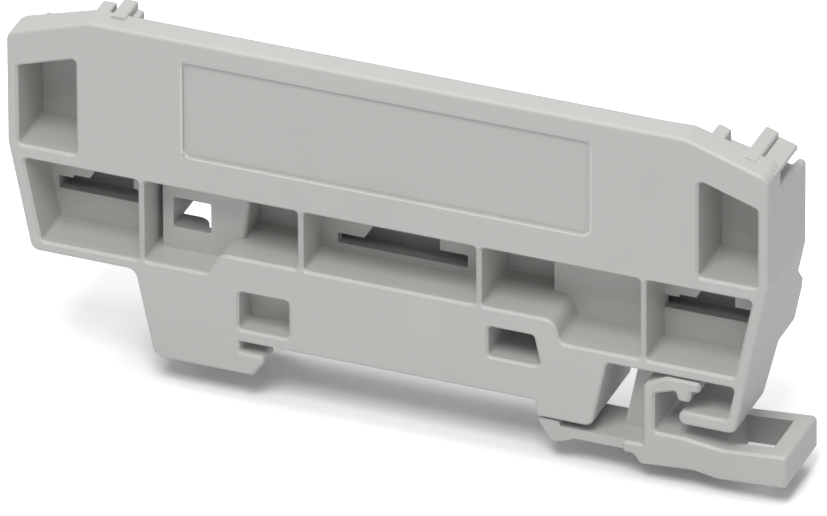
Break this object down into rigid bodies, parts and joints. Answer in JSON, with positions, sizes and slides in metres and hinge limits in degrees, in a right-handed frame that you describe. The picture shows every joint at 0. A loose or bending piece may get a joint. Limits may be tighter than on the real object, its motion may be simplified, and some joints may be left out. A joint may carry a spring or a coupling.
{
  "type": "terminal block end cover",
  "caption": "Moulded end cover for terminal blocks on a 35 mm top-hat rail, with a label field, ribbed compartments, a fixed hook and a sliding snap foot.",
  "frame": {"origin": "the middle of the seat that rests on the rail, halfway between the hooks and halfway through the seat's depth", "axes": "+X along the cover towards the snap foot, +Y from the outer face to the mating side, along the rail, +Z away from the rail"},
  "size_m": [0.0922, 0.0149, 0.043],
  "materials": {
    "cover_plastic": "fine satin moulded grain",
    "foot_plastic": "fine satin moulded grain"
  },
  "bodies": {
    "cover": {"end_cover": "cover_plastic"},
    "foot": {"foot_latch": "foot_plastic"}
  },
  "joints": [
    {"name": "foot_slide", "type": "slide", "parent": "cover", "child": "foot", "axis": [1, 0, 0], "range_m": [0, 0.0024], "stiffness_N_per_m": 400}
  ]
}
